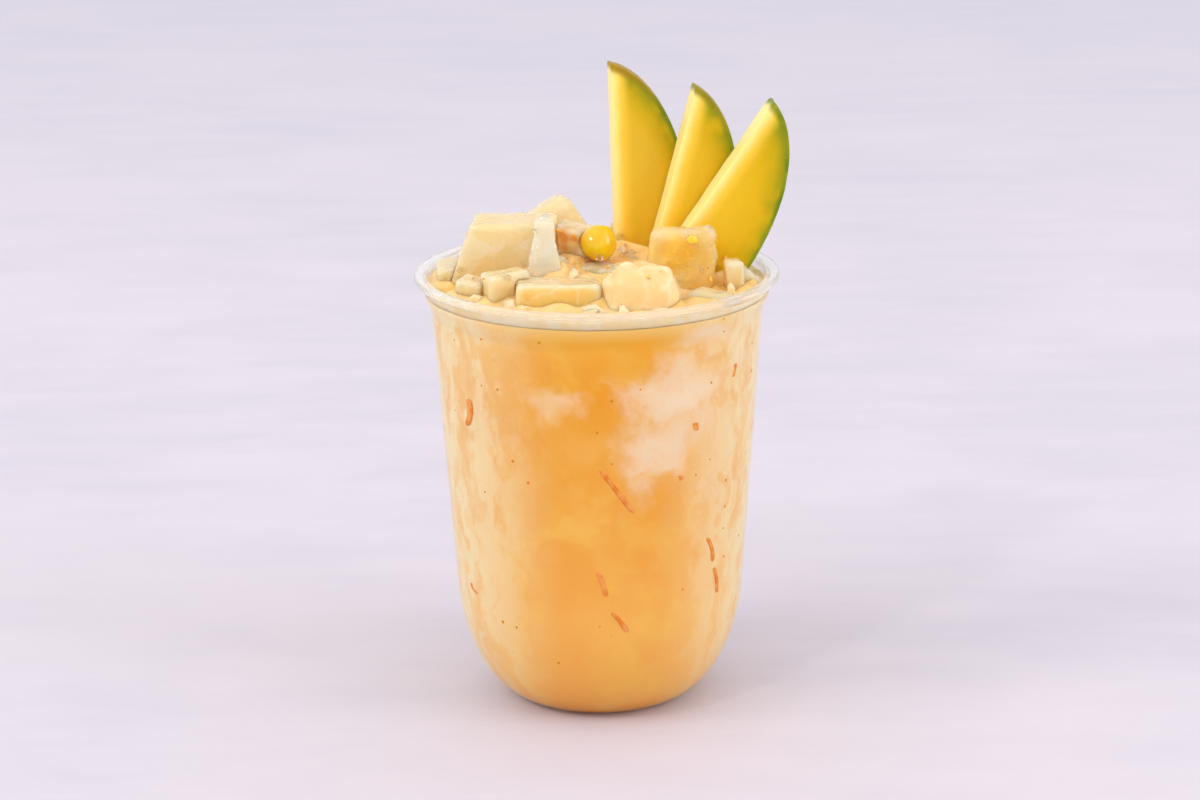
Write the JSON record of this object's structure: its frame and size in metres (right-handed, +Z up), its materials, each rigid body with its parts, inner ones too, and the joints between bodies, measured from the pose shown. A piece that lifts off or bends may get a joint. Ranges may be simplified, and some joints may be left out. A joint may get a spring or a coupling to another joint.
{
  "type": "iced mango milk tea in a clear cup",
  "caption": "Cold mango milk tea with ice in a clear round-bottomed plastic cup, topped with a fan of mango slices and a mango pearl.",
  "frame": {"origin": "on the cup's axis, in the plane of the foot ring that it stands on", "axes": "+Z up along the cup's axis; the mango slices stand on the +X side; -Y is the front, from which the fan is seen face on"},
  "size_m": [0.0978, 0.095, 0.1679],
  "materials": {
    "cup": "clear, glossy, thin moulded plastic",
    "drink": "opaque creamy orange-yellow drink with paler clouds of milk",
    "ice": "cloudy ice wetted with the drink",
    "mango": "moist yellow flesh with a thin green skin",
    "pearl": "wet translucent yellow"
  },
  "bodies": {
    "root": {"cup": "cup", "drink": "drink", "ice_left": "ice", "ice_back": "ice", "ice_shard": "ice", "ice_amber": "ice", "ice_front": "ice", "ice_mound": "ice", "ice_clear": "ice", "ice_seat": "ice", "ice_middle": "ice", "ice_chip_right": "ice", "ice_edge_right": "ice", "ice_low_right": "ice", "ice_small_left": "ice", "ice_low_left": "ice", "ice_edge_left": "ice", "ice_back_left": "ice", "ice_back_right": "ice", "ice_rear": "ice", "ice_rear_right": "ice", "mango_slice_1": "mango", "mango_slice_2": "mango", "mango_slice_3": "mango", "mango_pearl": "pearl"}
  },
  "joints": []
}
